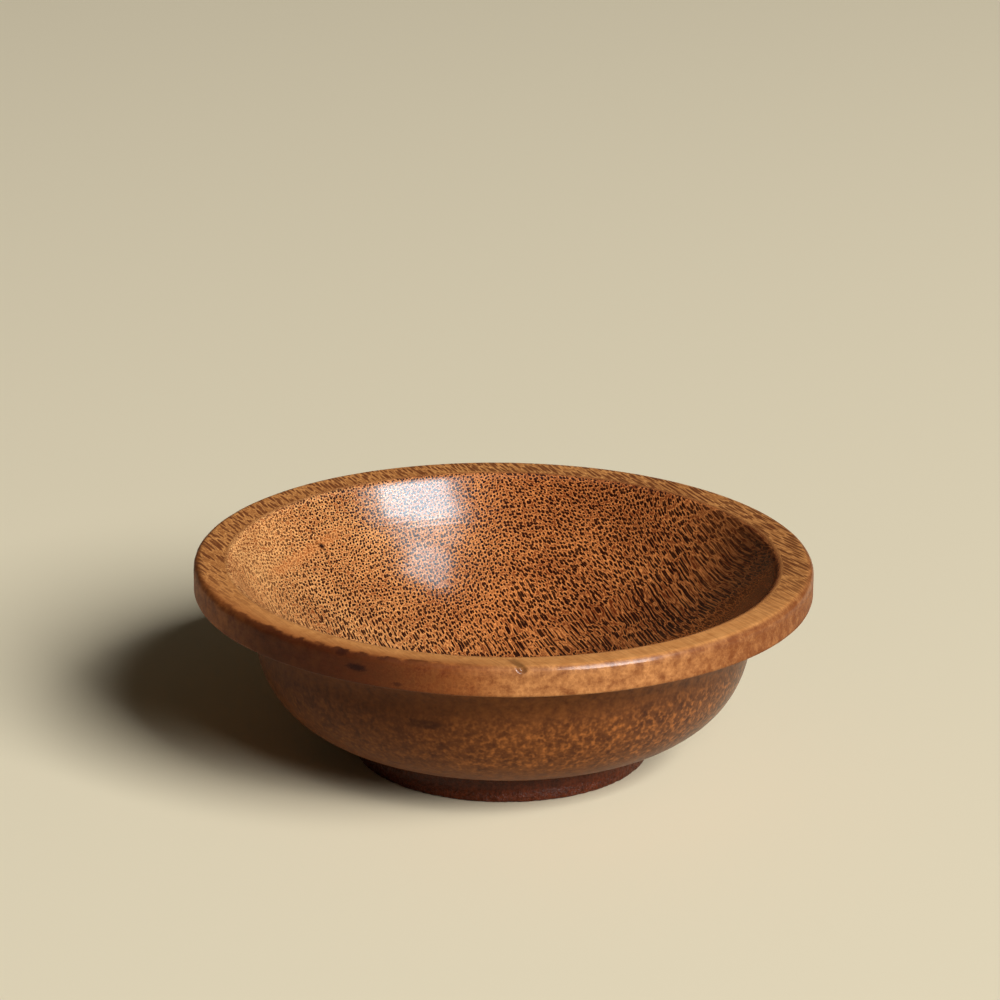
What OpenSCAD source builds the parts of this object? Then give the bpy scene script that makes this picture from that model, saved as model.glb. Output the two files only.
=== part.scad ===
// Small bowl turned from coconut palm wood, glued to a separate turned foot.
// Sizes are in millimetres, +Z is up, and the origin is on the table, under the middle of the foot.

/* [Rim] */
// Diameter over the rim
rim_d = 130; // [108:1:160]
// Height from the table to the rim's upper edge, before it is rounded
bowl_h = 43; // [35:0.5:52]
// Width of the rim, seen from above
rim_w = 7.5; // [6:0.5:10]
// Height of the rim's outer face
rim_t = 6.5; // [4.5:0.5:8]
// How far the top of the rim falls from its outer edge to the mouth
rim_fall = 0.6; // [0:0.1:1.2]
// Rounding of the rim's upper edge
rim_round = 1.6; // [0.5:0.1:2.5]
// Rounding of the rim's lower edge
lip_round = 0.5; // [0.3:0.1:1.5]

/* [Body] */
// How far the rim stands out past the waist of the body
overhang = 12.7; // [11.5:0.1:15.5]
// Radius of the cove between the waist and the rim
cove_round = 9.5; // [7:0.5:11]
// How far the side turns in from the waist to the seat of the foot
turn_in = 16; // [12:0.5:20]
// Thickness of the floor in the middle of the bowl
floor_t = 6.5; // [5:0.5:8]

/* [Foot] */
// Height of the foot
foot_h = 7.5; // [5:0.5:10]
// Width of the seat that is left bare around the foot
seat_ledge = 5.8; // [2:0.2:8]
// How much wider the foot is on the table than under the bowl, on each side
foot_flare = 0.8; // [0:0.1:2]
// Rounding of the foot's lower edge
foot_round = 0.6; // [0.2:0.1:1.2]
// Width of the ring that the foot stands on
ring_w = 8.3; // [5:0.1:12]
// Depth of the hollow under the foot
hollow_depth = 1.6; // [0.6:0.1:2.5]

/* [Glued joint] */
// Width of the foot's shoulder around the spigot
shoulder_w = 10.5; // [6:0.5:16]
// Height of the spigot
spigot_h = 3; // [1.5:0.5:4]
// Room for glue around the spigot and above it
glue_gap = 0.15; // [0.05:0.05:0.3]

/* [Hidden] */
$fn = 180;

// Overlap between shapes that make up one outline
lap = 1;

rim_r = rim_d / 2;
rim_z = bowl_h - rim_t;
mouth_r = rim_r - rim_w;
mouth_z = bowl_h - rim_fall;

body_r = rim_r - overhang;
waist_z = rim_z - cove_round;
side_rise = waist_z - foot_h;
// The side is one arc, upright at the waist, that ends on the edge of the seat
side_round = arc_radius(turn_in, side_rise);

// The inside is one arc from the middle of the floor to the edge of the mouth
floor_z = foot_h + floor_t;
inside_round = arc_radius(mouth_z - floor_z, mouth_r);

seat_r = body_r - turn_in;
foot_top_r = seat_r - seat_ledge;
foot_r = foot_top_r + foot_flare;
spigot_r = foot_top_r - shoulder_w;
hollow_r = foot_r - ring_w;
hollow_round = arc_radius(hollow_depth, hollow_r);

// Radius of the arc that rises by rise over half a chord
function arc_radius(rise, half_chord) = (rise ^ 2 + half_chord ^ 2) / (2 * rise);

function unit(v) = v / norm(v);

// The sections below lie in one plane: x is the distance from the axis and y the height.

// Cuts an outline's corner round, between two straight sides that leave it along a and b
module round_off(corner, a, b, r) {
    half_angle = acos(a * b) / 2;
    inward = unit(a + b);
    reach = r / tan(half_angle);
    centre = corner + inward * r / sin(half_angle);
    difference() {
        polygon([corner - inward * r, corner + a * reach, centre, corner + b * reach]);
        translate(centre) circle(r);
    }
}

// Solid body from the seat up to the rim, with its side turned in to the seat
module body_section() {
    difference() {
        translate([0, foot_h]) square([body_r, rim_z - foot_h]);
        translate([body_r - side_round, waist_z]) difference() {
            translate([0, -side_rise - lap]) square([side_round + lap, side_rise + lap]);
            circle(side_round);
        }
    }
}

// Hollow curve that carries the waist out to the underside of the rim
module cove_section() {
    difference() {
        translate([body_r - lap, waist_z]) square([cove_round + lap, cove_round + lap]);
        translate([body_r + cove_round, waist_z]) circle(cove_round);
    }
}

// Rim, solid across the mouth
module rim_section() {
    top_edge = [rim_r, bowl_h];
    low_edge = [rim_r, rim_z];
    mouth_edge = [mouth_r, mouth_z];
    difference() {
        polygon([[0, rim_z], low_edge, top_edge, mouth_edge, [0, mouth_z]]);
        round_off(top_edge, unit(mouth_edge - top_edge), [0, -1], rim_round);
        round_off(low_edge, [-1, 0], [0, 1], lip_round);
    }
}

module bowl_section() {
    difference() {
        union() {
            body_section();
            cove_section();
            rim_section();
        }
        translate([0, floor_z + inside_round]) circle(inside_round);
        translate([0, foot_h - lap]) square([spigot_r + glue_gap, spigot_h + glue_gap + lap]);
    }
}

module foot_section() {
    foot_edge = [foot_r, 0];
    top_edge = [foot_top_r, foot_h];
    difference() {
        union() {
            polygon([[0, 0], foot_edge, top_edge, [0, foot_h]]);
            translate([0, foot_h - lap]) square([spigot_r, spigot_h + lap]);
        }
        translate([0, hollow_depth - hollow_round]) circle(hollow_round);
        round_off(foot_edge, [-1, 0], unit(top_edge - foot_edge), foot_round);
    }
}

// Bowl and rim, turned from one block
module bowl() {
    color([0.67, 0.41, 0.20]) rotate_extrude() bowl_section();
}

// Foot with a spigot that is glued into the recess under the bowl
module foot() {
    color([0.34, 0.17, 0.10]) rotate_extrude() foot_section();
}

bowl();
foot();
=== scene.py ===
import math
from types import SimpleNamespace

import bmesh
import bpy
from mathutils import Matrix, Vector, noise


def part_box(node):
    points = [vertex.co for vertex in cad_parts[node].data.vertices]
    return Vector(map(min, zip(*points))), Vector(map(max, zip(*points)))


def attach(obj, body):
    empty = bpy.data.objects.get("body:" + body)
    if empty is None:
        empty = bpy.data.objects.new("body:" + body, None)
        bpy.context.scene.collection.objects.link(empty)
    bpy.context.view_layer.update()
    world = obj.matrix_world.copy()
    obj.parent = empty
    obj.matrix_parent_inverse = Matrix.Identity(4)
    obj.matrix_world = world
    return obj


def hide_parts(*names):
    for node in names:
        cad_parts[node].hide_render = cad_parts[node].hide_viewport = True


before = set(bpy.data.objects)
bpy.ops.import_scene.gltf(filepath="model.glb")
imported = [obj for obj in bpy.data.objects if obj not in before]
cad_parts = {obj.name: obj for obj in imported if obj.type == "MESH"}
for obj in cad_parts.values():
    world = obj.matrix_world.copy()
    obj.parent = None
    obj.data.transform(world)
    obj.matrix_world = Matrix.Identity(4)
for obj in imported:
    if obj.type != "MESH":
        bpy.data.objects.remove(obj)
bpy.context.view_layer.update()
print("frame loaded:", sorted(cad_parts))


def mm(length):
    return length * 0.001


# camera, from the rim, side and foot outlines in the photograph
photo = {
    "side": 1000,              # pixels
    "focal": 3850,             # pixels
    "target": 25,              # mm above the table, on the bowl's axis
    "targetAt": (504.8, 636),  # where the target falls in the picture
    "distance": 814.4,         # mm
    "elevation": 20.59,        # degrees
    "roll": 0.69,              # degrees
}


def addCamera(view):
    data = bpy.data.cameras.new("camera")
    data.sensor_width = 36
    data.lens = data.sensor_width * view["focal"] / view["side"]
    camera = bpy.data.objects.new("camera", data)
    bpy.context.scene.collection.objects.link(camera)
    lift = math.radians(view["elevation"])
    away = mm(view["distance"])
    camera.location = (0, -away * math.cos(lift), mm(view["target"]) + away * math.sin(lift))
    offX = view["targetAt"][0] - view["side"] / 2
    offY = view["targetAt"][1] - view["side"] / 2
    pitch = lift - math.atan2(offY, view["focal"])
    yaw = math.atan2(offX, view["focal"])
    camera.rotation_euler = (math.pi / 2 - pitch, 0, yaw)
    camera.rotation_euler.rotate_axis("Z", math.radians(view["roll"]))
    bpy.context.scene.camera = camera
    print("camera at", [round(c, 4) for c in camera.location])


addCamera(photo)


# turned shapes: a pen draws the section in the XZ plane, then one spin turns it
def penDown(bm, r, z):
    return bm.verts.new((mm(r), 0, mm(z)))


def lineTo(bm, pen, r, z):
    made = bmesh.ops.extrude_vert_indiv(bm, verts=[pen])
    made["verts"][0].co = (mm(r), 0, mm(z))
    return made["verts"][0]


def arcRound(bm, pen, r, z, degrees, steps):
    made = bmesh.ops.spin(bm, geom=[pen], cent=(mm(r), 0, mm(z)), axis=(0, 1, 0),
                          angle=math.radians(degrees), steps=steps)
    return [part for part in made["geom_last"] if isinstance(part, bmesh.types.BMVert)][0]


def turn(bm, steps):
    bmesh.ops.spin(bm, geom=bm.verts[:] + bm.edges[:], cent=(0, 0, 0), axis=(0, 0, 1),
                   angle=2 * math.pi, steps=steps, use_merge=True)
    bmesh.ops.remove_doubles(bm, verts=bm.verts[:], dist=mm(0.001))
    bmesh.ops.recalc_face_normals(bm, faces=bm.faces[:])


def spot(vert):
    return math.hypot(vert.co.x, vert.co.y) * 1000, vert.co.z * 1000


def ring(bm, r, z):
    def there(vert):
        vertR, vertZ = spot(vert)
        return abs(vertR - r) < 0.01 and abs(vertZ - z) < 0.01
    return [edge for edge in bm.edges if there(edge.verts[0]) and there(edge.verts[1])]


def soften(bm, r, z, radius, segments):
    bmesh.ops.bevel(bm, geom=ring(bm, r, z), offset=mm(radius), offset_type="OFFSET", segments=segments,
                    profile=0.5, affect="EDGES", material=-1, clamp_overlap=True)


# extra rings across a band of the section
def addRings(bm, lowR, highR, lowZ, highZ, cuts):
    chosen = []
    for edge in bm.edges:
        ends = [spot(vert) for vert in edge.verts]
        inside = all(lowR <= r <= highR and lowZ <= z <= highZ for r, z in ends)
        across = abs(ends[0][0] - ends[1][0]) + abs(ends[0][1] - ends[1][1]) > 1
        if inside and across:
            chosen.append(edge)
    bmesh.ops.subdivide_edges(bm, edges=chosen, cuts=cuts, use_grid_fill=True)


# small waves that a hand-held tool and sanding leave, always inwards
def wobble(bm, size, length):
    for vert in bm.verts:
        shift = noise.noise(vert.co / mm(length)) - 1
        vert.co += vert.normal * mm(size) * shift / 2


# fine rings from the turning tool
def toolRings(bm, depth, pitch):
    for vert in bm.verts:
        r, z = spot(vert)
        shift = noise.noise((0, 0, (r + z) / pitch)) - 1
        vert.co += vert.normal * mm(depth) * shift / 2


def finishPiece(bm, name, node):
    mesh = bpy.data.meshes.new(name)
    bm.to_mesh(mesh)
    bm.free()
    mesh.shade_smooth()
    piece = bpy.data.objects.new(name, mesh)
    bpy.context.scene.collection.objects.link(piece)
    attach(piece, "root")
    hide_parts(node)
    print(name, len(mesh.polygons), "faces")
    return piece


# bowl: sizes in mm, as its CAD node has them
bowlLow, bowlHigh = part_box("bowl")
bowlShape = {
    "rimRadius": bowlHigh.x * 1000,
    "seatHeight": bowlLow.z * 1000,
    "rimEdge": 43.0,       # before it is rounded
    "rimWidth": 7.5,
    "rimFace": 6.5,
    "rimFall": 0.6,
    "rimRound": 1.6,
    "lipRound": 0.5,
    "mouthRound": 0.6,
    "overhang": 12.7,
    "cove": 9.5,
    "turnIn": 16.0,
    "floor": 6.5,
    "recessRadius": 20.15,
    "recessDepth": 3.15,
    "steps": 280,          # round the bowl
    "insideRings": 230,
    "coveRings": 14,
    "sideRings": 36,
    "topRings": 9,
    "faceRings": 7,
    "wave": 0.07,
    "waveLength": 11,
    "toolDepth": 0.03,
    "toolPitch": 0.8,
    "edgeWear": 0.6,       # worn waves along the rim's outer edge
    "edgeWave": 3.0,
    "edgeReach": 2.5,      # how far in from the edge
    "wearTowards": Vector((-0.8, -0.6)),
    "nickFrom": (1.6, -59.6, 42.6),
    "nickTo": (3.9, -64.6, 42.4),
    "nickWidth": 0.95,
    "nickDepth": 0.7,
    "nickPatch": 5,        # reach of the finer faces
}


# a small nick across the rim, pressed into a patch of finer faces
def cutNick(bm, shape):
    start = Vector(shape["nickFrom"])
    path = Vector(shape["nickTo"]) - start
    middle = start + path / 2
    near = [edge for edge in bm.edges
            if all((v.co * 1000 - middle).length < shape["nickPatch"] for v in edge.verts)]
    bmesh.ops.subdivide_edges(bm, edges=near, cuts=3, use_grid_fill=True)
    bm.normal_update()
    for vert in bm.verts:
        here = vert.co * 1000 - start
        part = min(max(here.dot(path) / path.length_squared, 0), 1)
        gap = (here - path * part).length / shape["nickWidth"]
        if gap < 1:
            vert.co -= vert.normal * mm(shape["nickDepth"]) * (1 - gap ** 2) * (0.3 + 0.7 * part)


# wear along the rim's outer edge, most at the front left
def wearEdge(bm, shape):
    rimR = shape["rimRadius"]
    for vert in bm.verts:
        r, z = spot(vert)
        near = 1 - math.hypot(rimR - r, shape["rimEdge"] - z) / shape["edgeReach"]
        if near > 0:
            wear = max(noise.noise(vert.co / mm(shape["edgeWave"])), 0)
            turned = vert.co.xy.normalized().dot(shape["wearTowards"])
            wear *= min(max(turned * 2 - 0.8, 0), 1)
            vert.co -= vert.normal * mm(shape["edgeWear"]) * wear * near


def makeBowl(shape):
    rimR = shape["rimRadius"]
    rimZ = shape["rimEdge"] - shape["rimFace"]
    mouthR = rimR - shape["rimWidth"]
    mouthZ = shape["rimEdge"] - shape["rimFall"]
    seatZ = shape["seatHeight"]
    floorZ = seatZ + shape["floor"]
    bodyR = rimR - shape["overhang"]
    waistZ = rimZ - shape["cove"]
    rise = mouthZ - floorZ
    insideR = (rise ** 2 + mouthR ** 2) / (2 * rise)
    drop = waistZ - seatZ
    sideR = (shape["turnIn"] ** 2 + drop ** 2) / (2 * shape["turnIn"])
    bm = bmesh.new()
    pen = penDown(bm, 0, floorZ)
    sweep = math.degrees(math.asin(mouthR / insideR) - 2 * shape["mouthRound"] / insideR)
    pen = arcRound(bm, pen, 0, floorZ + insideR, -sweep, shape["insideRings"])
    pen = lineTo(bm, pen, mouthR, mouthZ)
    pen = lineTo(bm, pen, rimR, shape["rimEdge"])
    pen = lineTo(bm, pen, rimR, rimZ)
    pen = lineTo(bm, pen, bodyR + shape["cove"], rimZ)
    pen = arcRound(bm, pen, bodyR + shape["cove"], waistZ, -90, shape["coveRings"])
    sweep = math.degrees(math.asin(drop / sideR))
    pen = arcRound(bm, pen, bodyR - sideR, waistZ, sweep, shape["sideRings"])
    pen = lineTo(bm, pen, shape["recessRadius"], seatZ)
    pen = lineTo(bm, pen, shape["recessRadius"], seatZ + shape["recessDepth"])
    lineTo(bm, pen, 0, seatZ + shape["recessDepth"])
    turn(bm, shape["steps"])
    soften(bm, rimR, shape["rimEdge"], shape["rimRound"], 8)
    soften(bm, rimR, rimZ, shape["lipRound"], 5)
    soften(bm, mouthR, mouthZ, shape["mouthRound"], 5)
    addRings(bm, mouthR - 1, rimR, mouthZ - 1, shape["rimEdge"], shape["topRings"])
    addRings(bm, rimR - 0.5, rimR + 0.5, rimZ, shape["rimEdge"], shape["faceRings"])
    bm.normal_update()
    wobble(bm, shape["wave"], shape["waveLength"])
    toolRings(bm, shape["toolDepth"], shape["toolPitch"])
    wearEdge(bm, shape)
    cutNick(bm, shape)
    return finishPiece(bm, "turnedBowl", "bowl")


bowlPiece = makeBowl(bowlShape)


# foot: sizes in mm, as its CAD node has them
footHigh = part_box("foot")[1]
footShape = {
    "radius": 31.3,
    "topRadius": 30.5,
    "height": bowlLow.z * 1000,
    "edgeRound": 0.6,
    "ringWidth": 8.3,
    "hollow": 1.6,
    "spigotRadius": 20.0,
    "spigotTop": footHigh.z * 1000,
    "steps": 480,          # round the foot
    "hollowRings": 12,
    "sideRings": 11,
    "torn": 0.5,           # torn specks along the lower edge
    "tornLength": 0.9,
    "tornHeight": 1.6,
    "dent": 0.1,
    "dentLength": 4,
}


# small tears along the foot's lower edge
def tearEdge(bm, shape):
    for vert in bm.verts:
        r, z = spot(vert)
        low = 1 - z / shape["tornHeight"]
        if r > shape["topRadius"] and low > 0:
            tear = max(noise.noise(vert.co / mm(shape["tornLength"])), 0) * low
            vert.co -= Vector((vert.co.x, vert.co.y, 0)).normalized() * mm(shape["torn"]) * tear


def makeFoot(shape):
    hollowR = shape["radius"] - shape["ringWidth"]
    deep = shape["hollow"]
    domeR = (deep ** 2 + hollowR ** 2) / (2 * deep)
    bm = bmesh.new()
    pen = penDown(bm, 0, deep)
    sweep = math.degrees(math.asin(hollowR / domeR))
    pen = arcRound(bm, pen, 0, deep - domeR, sweep, shape["hollowRings"])
    pen = lineTo(bm, pen, shape["radius"], 0)
    pen = lineTo(bm, pen, shape["topRadius"], shape["height"])
    pen = lineTo(bm, pen, shape["spigotRadius"], shape["height"])
    pen = lineTo(bm, pen, shape["spigotRadius"], shape["spigotTop"])
    lineTo(bm, pen, 0, shape["spigotTop"])
    turn(bm, shape["steps"])
    soften(bm, shape["radius"], 0, shape["edgeRound"], 5)
    addRings(bm, shape["topRadius"], shape["radius"], 0, shape["height"], shape["sideRings"])
    bm.normal_update()
    wobble(bm, shape["dent"], shape["dentLength"])
    tearEdge(bm, shape)
    return finishPiece(bm, "turnedFoot", "foot")


footPiece = makeFoot(footShape)


# shader maths: one socket, with arithmetic that adds its nodes
class Wire:
    def __init__(self, tree, socket=None):
        self.tree = tree
        self.socket = socket

    def node(self, kind, settings=None, sockets=None, out=0):
        made = self.tree.nodes.new("ShaderNode" + kind)
        for key, value in (settings or {}).items():
            setattr(made, key, value)
        for key, value in (sockets or {}).items():
            if isinstance(value, Wire):
                self.tree.links.new(value.socket, made.inputs[key])
            else:
                made.inputs[key].default_value = value
        return Wire(self.tree, made.outputs[out])

    def also(self, out):
        return Wire(self.tree, self.socket.node.outputs[out])

    def value(self, number):
        return self.maths("ADD", number, 0.0)

    def into(self, socket):
        self.tree.links.new(self.socket, socket)

    def maths(self, operation, *values, clamp=False):
        return self.node("Math", {"operation": operation, "use_clamp": clamp}, dict(enumerate(values)))

    def __add__(self, other):
        return self.maths("ADD", self, other)

    def __radd__(self, other):
        return self.maths("ADD", other, self)

    def __sub__(self, other):
        return self.maths("SUBTRACT", self, other)

    def __rsub__(self, other):
        return self.maths("SUBTRACT", other, self)

    def __mul__(self, other):
        return self.maths("MULTIPLY", self, other)

    def __rmul__(self, other):
        return self.maths("MULTIPLY", other, self)

    def __truediv__(self, other):
        return self.maths("DIVIDE", self, other)

    def __pow__(self, other):
        return self.maths("POWER", self, other)

    def clamp(self):
        return self.maths("ADD", self, 0.0, clamp=True)

    def rise(self, low, high):
        return self.node("MapRange", {"interpolation_type": "SMOOTHSTEP"}, {0: self, 1: low, 2: high})

    def blend(self, low, high):
        return low + self * (high - low)

    def mix(self, low, high):
        return self.node("Mix", {"data_type": "RGBA"}, {0: self, 6: low, 7: high}, 2)

    def length(self):
        return self.node("VectorMath", {"operation": "LENGTH"}, {0: self}, "Value")

    def dot(self, axis):
        return self.node("VectorMath", {"operation": "DOT_PRODUCT"}, {0: self, 1: axis}, "Value")

    def axes(self):
        return [self.dot(axis) for axis in ((1, 0, 0), (0, 1, 0), (0, 0, 1))]

    def shift(self, other):
        return self.node("VectorMath", {"operation": "ADD"}, {0: self, 1: other})

    def scale(self, times):
        return self.node("VectorMath", {"operation": "SCALE"}, {0: self, "Scale": times})

    def noise(self, scale, detail, roughness=0.5, out=0):
        sockets = {"Vector": self, "Scale": scale, "Detail": detail, "Roughness": roughness}
        return self.node("TexNoise", {}, sockets, out)

    # moves a place about by a coloured noise, up to half of reach each way
    def jitter(self, scale, detail, reach):
        around = self.noise(scale, detail, out=1).shift((-0.5, -0.5, -0.5))
        return self.shift(around.scale(reach))


def rgb(red, green, blue):
    def linear(level):
        level = level / 255
        return level / 12.92 if level <= 0.04045 else ((level + 0.055) / 1.055) ** 2.4
    return (linear(red), linear(green), linear(blue), 1)


def newWood(name):
    material = bpy.data.materials.new(name)
    material.use_nodes = True
    shader = material.node_tree.nodes["Principled BSDF"]
    return material, shader, Wire(material.node_tree)


# where a point lies across the bundles, which run along y, lean to the right and dip
def acrossBundles(start, grain, flat, hollow, depth):
    x, y, z = flat.jitter(1 / grain["driftLength"], 2.0, grain["drift"]).axes()
    leanIn = grain["hollowLean"] + y * grain["leanGrowth"]
    leanIn = x.rise(34, 56).blend(leanIn, grain["rightLean"] + y * grain["rightLeanGrowth"])
    left = start.maths("MAXIMUM", x * -1, 0)
    dipIn = grain["hollowDip"] + left * grain["dipLeft"] + y * grain["dipGrowth"]
    across = (x + y * hollow.blend(grain["lean"], leanIn)) * grain["squeeze"]
    up = z + y * hollow.blend(grain["dip"], dipIn) - grain["middle"]
    # at the right of the hollow they follow the wall
    wrap = hollow * x.rise(16, 56) * (0.5 + y.rise(-20, 20) * 0.5) * grain["wrap"]
    up = wrap.blend(up, depth)
    # they sway most where the hollow lies along them, which breaks up long bars
    off = y - x * 0.35 - 10
    along = (1 - (off * off).rise(20, 200)) * (1 - x.rise(25, 45) * 0.8)
    sway = (flat.noise(1 / grain["swayLength"], 1.0) - 0.5) * grain["sway"]
    # and they crowd together to the right
    u = across * (1 + across * (grain["crowd"] / 2) + wrap * 0.2)
    v = up * (1 + across * grain["crowd"]) + sway * hollow * (1 + along * 1.6)
    wide = hollow.blend(grain["rimScale"], 1)
    return start.node("CombineXYZ", {}, {0: u * wide, 1: v * wide, 2: y * 0.12}), wrap


# coconut palm wood: a solid pattern, so dots where a face cuts the bundles and streaks along them
def palmGrain(start, grain, hollow, depth):
    flat = start.node("TexCoord", out="Object").scale(1000)  # mm
    straight, wrap = acrossBundles(start, grain, flat, hollow, depth)
    cut = straight.jitter(2.2, 1.0, grain["ragged"])
    dense = (flat.dot(Vector(grain["denseTowards"]).normalized()) / grain["denseSpan"] + 0.5).clamp()

    def bundles(pitch, size, soft):
        cells = start.node("TexVoronoi", {"voronoi_dimensions": "2D", "feature": "F1"},
                           {"Vector": cut.scale(1 / pitch), "Scale": 1.0, "Randomness": 0.7})
        chance = start.node("SeparateColor", {}, {0: cells.also("Color")})
        reach = size * (0.7 + chance * 0.44) * (0.94 + dense * 0.13) * (1 - wrap * 0.1)
        past = cells - reach
        return (0.5 - past / soft).clamp(), past, chance.also(1)

    main, past, mainChance = bundles(grain["pitch"], grain["bundle"], 0.1)
    glintRing = (past / 0.08).clamp() * (1 - (past / 0.14 - 0.8).clamp())   # painted glint: a pale ring round each bundle
    fine, _, fineChance = bundles(grain["pitch"] * 0.5, grain["fineBundle"], 0.2)
    fibre = straight.noise(2.8, 3.0, 0.7)
    speck = flat.noise(2.4, 2.0, 0.65)
    return {
        "flat": flat,
        "dense": dense,
        "main": main * (0.86 + mainChance * 0.14),
        "glintRing": glintRing,
        "fine": fine * fineChance,
        "granule": dense.blend(speck, fibre),
    }


bowlGrain = {
    "lean": 0.53,           # to the right, per mm along the bundles
    "dip": 0.14,
    "hollowLean": 0.35,
    "leanGrowth": 0.0009,
    "rightLean": 0.2,       # on the wall at the right
    "rightLeanGrowth": 0.0045,
    "hollowDip": -0.2,
    "dipLeft": 0.0085,
    "dipGrowth": 0.0034,
    "wrap": 0.8,            # how far bundles follow the wall at the right
    "middle": 28,           # mm
    "squeeze": 0.92,
    "crowd": 0.0019,
    "rimScale": 0.8,        # coarser on the rim
    "drift": 2.0,           # mm
    "driftLength": 18,
    "sway": 1.2,
    "swayLength": 5,
    "ragged": 0.18,
    "pitch": 0.775,
    "bundle": 0.385,
    "fineBundle": 0.34,
    "denseTowards": (0.9, 0.43, 0),
    "denseSpan": 110,
    # the hollow
    "deepLeft": rgb(149, 79, 32),
    "deepRight": rgb(105, 44, 15),
    "paleLeft": rgb(255, 202, 131),
    "paleRight": rgb(240, 154, 85),
    "farRight": rgb(76, 36, 14),       # painted shade on the wall under the rim at the right
    "bundleTone": rgb(34, 7, 3),
    "fineTone": rgb(92, 30, 11),
    # the rim
    "topDeep": rgb(150, 92, 44),
    "topPale": rgb(220, 156, 90),
    "topStreak": rgb(88, 38, 15),
    "sheenFrontDeep": rgb(198, 128, 66),    # its top at the front, lighter with painted sheen
    "sheenFrontPale": rgb(250, 182, 110),
    "wornEdge": rgb(148, 82, 36),
    "rimDeep": rgb(116, 64, 29),       # its outer face
    "rimPale": rgb(186, 128, 76),
    "rimDeepLeft": rgb(108, 50, 17),
    "rimPaleLeft": rgb(173, 103, 50),
    # the outside
    "bodyDeep": rgb(64, 31, 12),
    "bodyPale": rgb(150, 90, 42),
    "paintedShadeTone": rgb(50, 14, 2),       # painted shade at the front left, where the faces turn from the light
    "paintedShadeTowards": (-0.75, -0.66, 0),
    # how strongly bundles show, 1 in the hollow
    "rimTopBundle": 0.78,
    "rimFaceBundle": 0.2,
    "bodyBundle": 0.04,
    # leaf trace: a band with few bundles
    "traceFrom": (-49.8, 9.4, 34.7),
    "traceTo": (-35.1, 38.1, 35.8),
    "traceTone": rgb(176, 98, 44),
    "pit": (-39.8, 30.4, 34.0),
    # angle, height, half width, half height and strength
    "knots": [
        (-119.4, 42.3, 1.4, 0.7, 0.7),
        (-116.2, 40.0, 2.5, 0.9, 1.0),
        (-111.4, 42.7, 1.2, 0.5, 0.4),
        (-108.5, 37.8, 1.2, 0.5, 0.6),
    ],
    "bodyMark": (-107.2, 24.6, 4.6, 1.1),
    "bodyMarkRadius": 52.2,
    # lacquer
    "bareRoughness": 0.55,
    "roughness": 0.12,
    "specular": 0.12,
    "coat": 0.03,
    "sideCoat": 0.35,       # more to the right, outside
    "rimCoat": 0.3,
    "insideCoat": 1.0,
    "coatRoughness": 0.14,
    "coatIor": 1.6,
}


# a point's place in mm, and masks for the faces and sides of the bowl
def bowlPlaces(start, shape):
    at = SimpleNamespace()
    at.flat = start.node("TexCoord", out="Object").scale(1000)
    at.x, at.y, at.z = at.flat.axes()
    at.radius = (at.x * at.x + at.y * at.y) ** 0.5
    mouthR = shape["rimRadius"] - shape["rimWidth"]
    floorZ = shape["seatHeight"] + shape["floor"]
    rise = shape["rimEdge"] - shape["rimFall"] - floorZ
    insideR = (rise ** 2 + mouthR ** 2) / (2 * rise)
    at.centre = Vector((0, 0, floorZ + insideR))
    at.depth = at.flat.shift(-at.centre).length() - insideR
    at.inside = 1 - at.depth.rise(0.2, 0.9)
    at.rimBottom = shape["rimEdge"] - shape["rimFace"]
    at.above = at.z.rise(at.rimBottom - 0.6, at.rimBottom + 0.3)
    at.body = (1 - at.inside) * (1 - at.above)
    at.front = at.y.rise(0, -40)
    at.left = 1 - at.x.rise(-12, 6)
    # the hollow's wall under the rim at the right, which gets painted shade
    at.farRight = at.x.rise(37, 54)
    at.blotch = at.flat.noise(0.45, 3.0, 0.55)
    # the rim's outer face, which eats into the worn edge at the front left
    ragged = ((at.blotch - 0.42) * 4).clamp() * at.left * at.front
    at.rimFace = (at.radius + ragged).rise(shape["rimRadius"] - 1.6, shape["rimRadius"] - 0.4)
    return at


def hollowGround(at, grain, tone, dense):
    shade = (dense.rise(0.04, 0.84) + at.y.rise(46, 24) * 0.26).clamp()
    ground = tone.mix(shade.mix(grain["deepLeft"], grain["deepRight"]),
                      shade.mix(grain["paleLeft"], grain["paleRight"]))
    # painted shade on the wall under the rim at the right
    return (at.farRight * 0.5).mix(ground, grain["farRight"])


def rimTopGround(at, grain, tone):
    tone = tone + (0.34 - tone) * (0.2 + at.front * 0.6) + (at.blotch - 0.5) * at.front
    # painted sheen: the rim's top lighter at the front, most at the right
    light = at.front * (0.4 + at.x.rise(-30, 30) * 0.6)
    ground = tone.mix(light.mix(grain["topDeep"], grain["sheenFrontDeep"]),
                      light.mix(grain["topPale"], grain["sheenFrontPale"]))
    worn = (at.radius + at.blotch * 3).rise(61, 66) * at.front * at.left
    return (worn * 0.75).mix(ground, grain["wornEdge"])


def rimFaceGround(at, grain, granule):
    rightShadeAndSmooth = at.x.rise(25, 52)   # painted shade: darker and less mottled there
    tone = (granule + at.blotch * 2.2 - 1.05 - rightShadeAndSmooth * 0.4 - (at.blotch - 0.5) * rightShadeAndSmooth).clamp()
    return tone.mix(at.left.mix(grain["rimDeep"], grain["rimDeepLeft"]),
                    at.left.mix(grain["rimPale"], grain["rimPaleLeft"]))


def bodyGround(at, grain):
    belly = at.z.rise(10.5, 16) * (1 - at.z.rise(23, 29))   # a band of pale specks round the body
    spots = at.flat.noise(1.0, 1.0, 0.6)
    specks = spots.rise(0.42, 0.84) * belly * (0.4 + at.x.rise(-30, 30) * 0.35)
    mottle = (at.blotch - 0.5) * 0.8 + (spots - 0.5) * 0.4 + specks
    mottle = mottle - belly * 0.1 - at.x.rise(0, 55) * 0.1
    return (mottle + 0.37).clamp().mix(grain["bodyDeep"], grain["bodyPale"])
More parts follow.
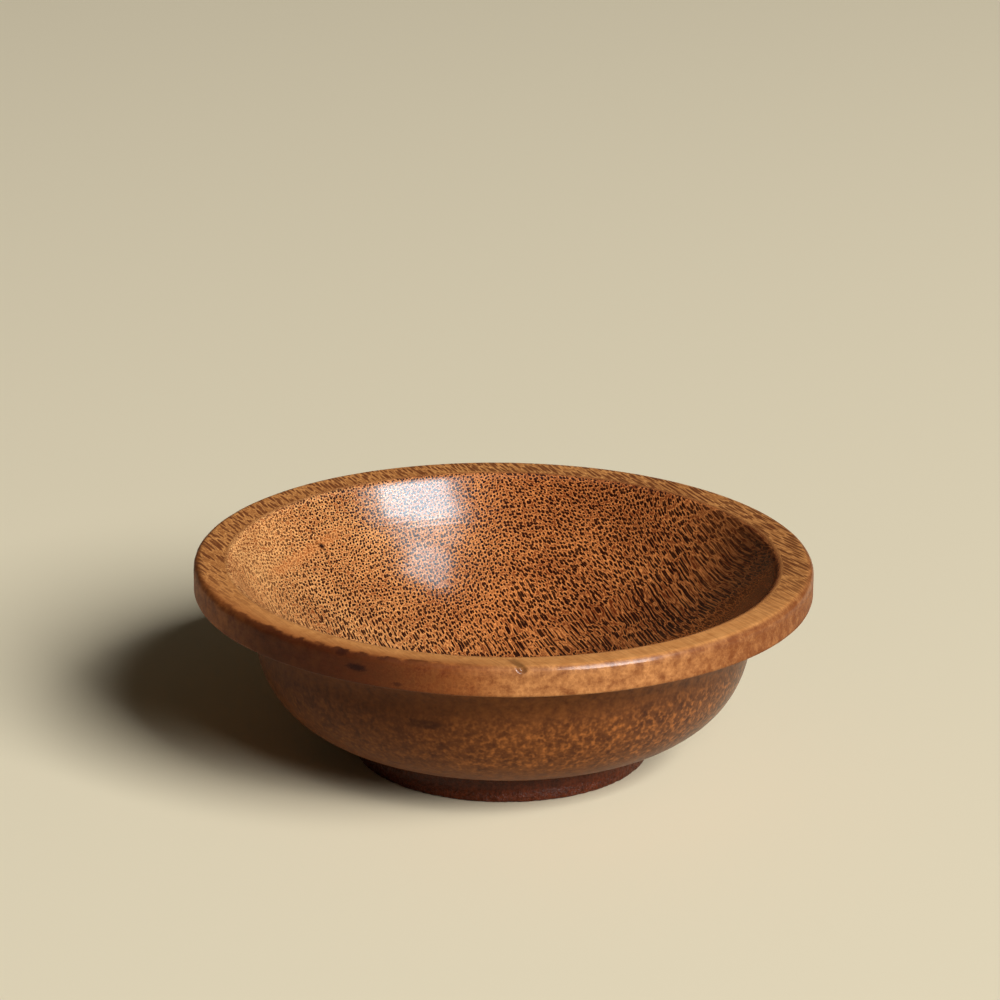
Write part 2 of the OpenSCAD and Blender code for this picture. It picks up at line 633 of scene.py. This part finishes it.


# painted shade at the front left of the outside, strongest on the rim's face and on the body just under the
# rim, and a painted shade line at the lower edge of the rim's face
def paintedShadeMask(at, grain):
    frontLeftShade = at.flat.dot(Vector(grain["paintedShadeTowards"]).normalized()) / at.radius + (at.blotch - 0.5) * 0.25
    frontLeftShade = frontLeftShade.rise(0.62, 0.96) * (1 - at.x.rise(-46, -62) * 0.8)
    faces = at.rimFace * at.above * 0.88 + at.body * (0.22 + at.z.rise(16, 25) * 0.25)
    lipShade = at.rimFace * (1 - at.z.rise(at.rimBottom + 0.1, at.rimBottom + 0.9))
    return (frontLeftShade * faces + lipShade * at.x.rise(-30, 10) * 0.2).clamp()


# leaf trace on the left, as a band round the hollow
def traceMask(start, at, grain, granule):
    first = Vector(grain["traceFrom"])
    path = Vector(grain["traceTo"]) - first
    band = (first - at.centre).cross(first + path - at.centre).normalized()
    off = at.flat.shift(-first)
    part = off.dot(path) / path.length_squared
    aside = start.maths("ABSOLUTE", off.dot(band)) + granule * 2.0
    ends = part.rise(-0.1, 0.15) * (1 - part.rise(0.8, 1.1))
    return (1 - aside.rise(1.2, 3.2)) * ends * at.inside


# how strongly the bundles show on each face
def bundleShow(at, grain, trace):
    show = grain["rimTopBundle"] * (1 - at.front * 0.85)
    show = at.inside.blend(show, 1)
    show = at.rimFace.blend(show, grain["rimFaceBundle"])
    show = at.body.blend(show, grain["bodyBundle"])
    farLeft = 1 - at.x.rise(-60, -38)
    return show * (1 - trace * 0.6) * (1 - at.inside * farLeft * 0.65) * (1 - at.inside * at.farRight * 0.55)


# a dark oval on a turned face
def knotMask(flat, angle, z, wide, tall, radius, rough):
    turned = math.radians(angle)
    middle = Vector((radius * math.cos(turned), radius * math.sin(turned), z))
    off = flat.shift(-middle)
    side = off.dot((-math.sin(turned), math.cos(turned), 0)) / wide
    up = off.dot((0, 0, 1)) / tall
    out = off.dot((math.cos(turned), math.sin(turned), 0)) / radius
    return 1 - (side * side + up * up + out * out + rough).rise(0.0, 1.4)


# distance in mm from a line between two points
def besideLine(flat, first, last):
    path = Vector(last) - Vector(first)
    off = flat.shift(-Vector(first))
    part = (off.dot(path) / path.length_squared).clamp()
    back = flat.node("VectorMath", {"operation": "SCALE"}, {0: tuple(-path), "Scale": part})
    return off.shift(back).length()


# knots on the rim's face, the mark on the body, the nick and the pit
def darkMarks(at, grain, shape, granule):
    rough = granule * 1.2 - 0.6
    knots = 0.0
    for angle, high, wide, tall, strength in grain["knots"]:
        knots = knots + knotMask(at.flat, angle, high, wide, tall, shape["rimRadius"], rough) * strength
    mark = knotMask(at.flat, *grain["bodyMark"], grain["bodyMarkRadius"], rough) * at.body
    nick = 1 - besideLine(at.flat, shape["nickFrom"], shape["nickTo"]).rise(0.4, 1.3)
    pit = 1 - at.flat.shift(-Vector(grain["pit"])).length().rise(0.3, 1.1)
    return (knots * at.rimFace * 0.95 + mark * 0.5 + nick * 0.5 + pit).clamp()


# lacquer: glossy in the hollow, thin on the rim's upper corner and the right side of the body
def addLacquer(start, shader, at, grain, shape, pattern):
    granule = pattern["granule"]
    lacquer = at.flat.noise(0.7, 2.0)
    turned = start.node("TexNoise", {"noise_dimensions": "1D"},
                        {"W": at.radius * 1.3 + at.z * 1.1, "Detail": 2.0})
    mouth = at.inside * (1 - at.z.rise(shape["rimEdge"] - 2.2, shape["rimEdge"] - 0.8))
    rough = mouth.blend(grain["bareRoughness"], grain["roughness"]) + lacquer * 0.06
    rough.into(shader.inputs["Roughness"])
    corner = at.z.rise(shape["rimEdge"] - 2.6, shape["rimEdge"] - 1.0) * (1 - at.inside)
    coat = grain["coat"] + corner * at.x.rise(-30, 10) * grain["rimCoat"]
    coat = coat + at.x.rise(10, 55) * at.body * grain["sideCoat"]
    strokes = (granule * 2.6 - 0.65 + (turned - 0.5) * 0.9).clamp()
    coat = mouth.blend(coat, grain["insideCoat"] * (0.42 + strokes * 0.58))
    coat.into(shader.inputs["Coat Weight"])
    height = turned * 0.8 + granule * 1.2 + lacquer * 0.6 - pattern["main"] * 0.8
    bump = start.node("Bump", {}, {"Strength": 1.0, "Distance": mm(0.014), "Height": height})
    bump.into(shader.inputs["Normal"])
    shader.inputs["Specular IOR Level"].default_value = grain["specular"]
    shader.inputs["Coat Roughness"].default_value = grain["coatRoughness"]
    shader.inputs["Coat IOR"].default_value = grain["coatIor"]


def bowlWood(grain, shape):
    material, shader, start = newWood("lacqueredPalmWood")
    at = bowlPlaces(start, shape)
    pattern = palmGrain(start, grain, at.inside, at.depth)
    granule = pattern["granule"]
    cloud = at.flat.noise(1 / 14, 2.0)
    tone = (granule * 3.0 + cloud * 0.8 + pattern["glintRing"] * 0.5 - 1.7).clamp()
    ground = at.inside.mix(rimTopGround(at, grain, tone), hollowGround(at, grain, tone, pattern["dense"]))
    ground = at.rimFace.mix(ground, rimFaceGround(at, grain, granule))
    ground = at.body.mix(ground, bodyGround(at, grain))
    # painted shade at the front left and along the lower edge of the rim's face
    ground = paintedShadeMask(at, grain).mix(ground, grain["paintedShadeTone"])
    trace = traceMask(start, at, grain, granule)
    ground = (trace * 0.3).mix(ground, grain["traceTone"])
    show = bundleShow(at, grain, trace)
    fine = at.inside.mix(grain["topStreak"], grain["fineTone"])
    streak = at.inside.mix(grain["topStreak"], grain["bundleTone"])
    colour = (pattern["fine"] * show * 0.65).clamp().mix(ground, fine)
    colour = (pattern["main"] * show).clamp().mix(colour, streak)
    colour = darkMarks(at, grain, shape, granule).mix(colour, grain["bundleTone"])
    colour.into(shader.inputs["Base Color"])
    addLacquer(start, shader, at, grain, shape, pattern)
    print("material", material.name)
    return material


# the foot's wood has the same grain, closer and darker
footGrain = dict(bowlGrain)
footGrain.update({
    "pitch": 0.8,
    "deep": rgb(50, 18, 7),
    "pale": rgb(104, 46, 21),
    "roughness": 0.2,
    "specular": 0.2,
    "lumps": 6.0,           # lacquer gathered along the lower edge
})


def footWood(grain):
    material, shader, start = newWood("darkPalmWood")
    pattern = palmGrain(start, grain, start.value(0.0), 0.0)
    flat = pattern["flat"]
    granule = pattern["granule"]
    z = flat.dot((0, 0, 1))
    blotch = flat.noise(0.5, 3.0, 0.6)
    # painted shade: the foot darker towards its top, under the bowl
    tone = (granule * 1.6 + blotch * 1.2 + z * -0.06 - 0.7).clamp()
    colour = tone.mix(grain["deep"], grain["pale"])
    colour = (pattern["main"] * 0.35).mix(colour, grain["bundleTone"])
    colour.into(shader.inputs["Base Color"])
    pits = flat.noise(1.4, 3.0, 0.7)
    rough = grain["roughness"] + pits * 0.15
    rough.into(shader.inputs["Roughness"])
    lumps = pits * (1 + (1 - z.rise(1.0, 3.2)) * grain["lumps"])
    bump = start.node("Bump", {}, {"Strength": 1.0, "Distance": mm(0.06), "Height": lumps + granule * 0.5})
    bump.into(shader.inputs["Normal"])
    shader.inputs["Specular IOR Level"].default_value = grain["specular"]
    print("material", material.name)
    return material


bowlPiece.data.materials.append(bowlWood(bowlGrain, bowlShape))
footPiece.data.materials.append(footWood(footGrain))


# plain pale floor
stage = {
    "half": 4.0,            # m
    "colour": rgb(226, 217, 190),
    "roughness": 0.9,
    "specular": 0.1,
}


def addFloor(plan):
    bm = bmesh.new()
    bmesh.ops.create_grid(bm, x_segments=1, y_segments=1, size=plan["half"])
    mesh = bpy.data.meshes.new("floor")
    bm.to_mesh(mesh)
    bm.free()
    floor = bpy.data.objects.new("floor", mesh)
    bpy.context.scene.collection.objects.link(floor)
    material = bpy.data.materials.new("paleFloor")
    material.use_nodes = True
    shader = material.node_tree.nodes["Principled BSDF"]
    shader.inputs["Base Color"].default_value = plan["colour"]
    shader.inputs["Roughness"].default_value = plan["roughness"]
    shader.inputs["Specular IOR Level"].default_value = plan["specular"]
    mesh.materials.append(material)
    print("floor", plan["half"] * 2, "m wide")


addFloor(stage)


# light: a soft key panel from the right and front, cards that only the lacquer shows, an even surround
panels = {
    "key": {"towards": (0.555, -0.602, 0.574), "wide": 28, "tall": 28, "turn": 0, "radiance": 21.0,
            "tint": (1.0, 0.98, 0.96), "diffuse": True},
    "window": {"towards": (0.47, -0.305, 0.828), "wide": 23, "tall": 21, "turn": -31, "radiance": 10.5,
               "tint": (0.67, 0.89, 1.04), "diffuse": False},
    "curtain": {"towards": (0.49, -0.3, 0.818), "wide": 34, "tall": 27, "turn": -31, "radiance": 2.4,
                "tint": (0.82, 0.93, 1.0), "diffuse": False},
    "veil": {"towards": (0.367, -0.048, 0.929), "wide": 19, "tall": 12, "turn": -26, "radiance": 3.0,
             "tint": (0.8, 0.92, 1.0), "diffuse": False},
    "ceiling": {"towards": (0.33, 0.136, 0.934), "wide": 15, "tall": 11, "turn": -26, "radiance": 5.0,
                "tint": (0.8, 0.92, 1.0), "diffuse": False},
}
surround = {"colour": rgb(236, 212, 176), "level": 0.05, "distance": 5.0}


# wide, tall and turn are in degrees, as the bowl sees the panel
def addPanel(name, panel, distance):
    data = bpy.data.lights.new(name, "AREA")
    data.color = panel["tint"]
    data.shape = "RECTANGLE"
    data.size = 2 * distance * math.tan(math.radians(panel["wide"] / 2))
    data.size_y = 2 * distance * math.tan(math.radians(panel["tall"] / 2))
    data.energy = panel["radiance"] * math.pi * data.size * data.size_y
    lamp = bpy.data.objects.new(name, data)
    bpy.context.scene.collection.objects.link(lamp)
    way = Vector(panel["towards"]).normalized()
    lamp.location = way * distance
    lamp.rotation_euler = way.to_track_quat("Z", "Y").to_euler()
    lamp.rotation_euler.rotate_axis("Z", math.radians(panel["turn"]))
    lamp.visible_diffuse = panel["diffuse"]
    print("light", name, round(data.energy, 1), "W")


for name, panel in panels.items():
    addPanel(name, panel, surround["distance"])

world = bpy.data.worlds.new("surround")
bpy.context.scene.world = world
world.use_nodes = True
background = world.node_tree.nodes["Background"]
background.inputs["Color"].default_value = surround["colour"]
background.inputs["Strength"].default_value = surround["level"]

bpy.context.scene.view_settings.view_transform = "Standard"
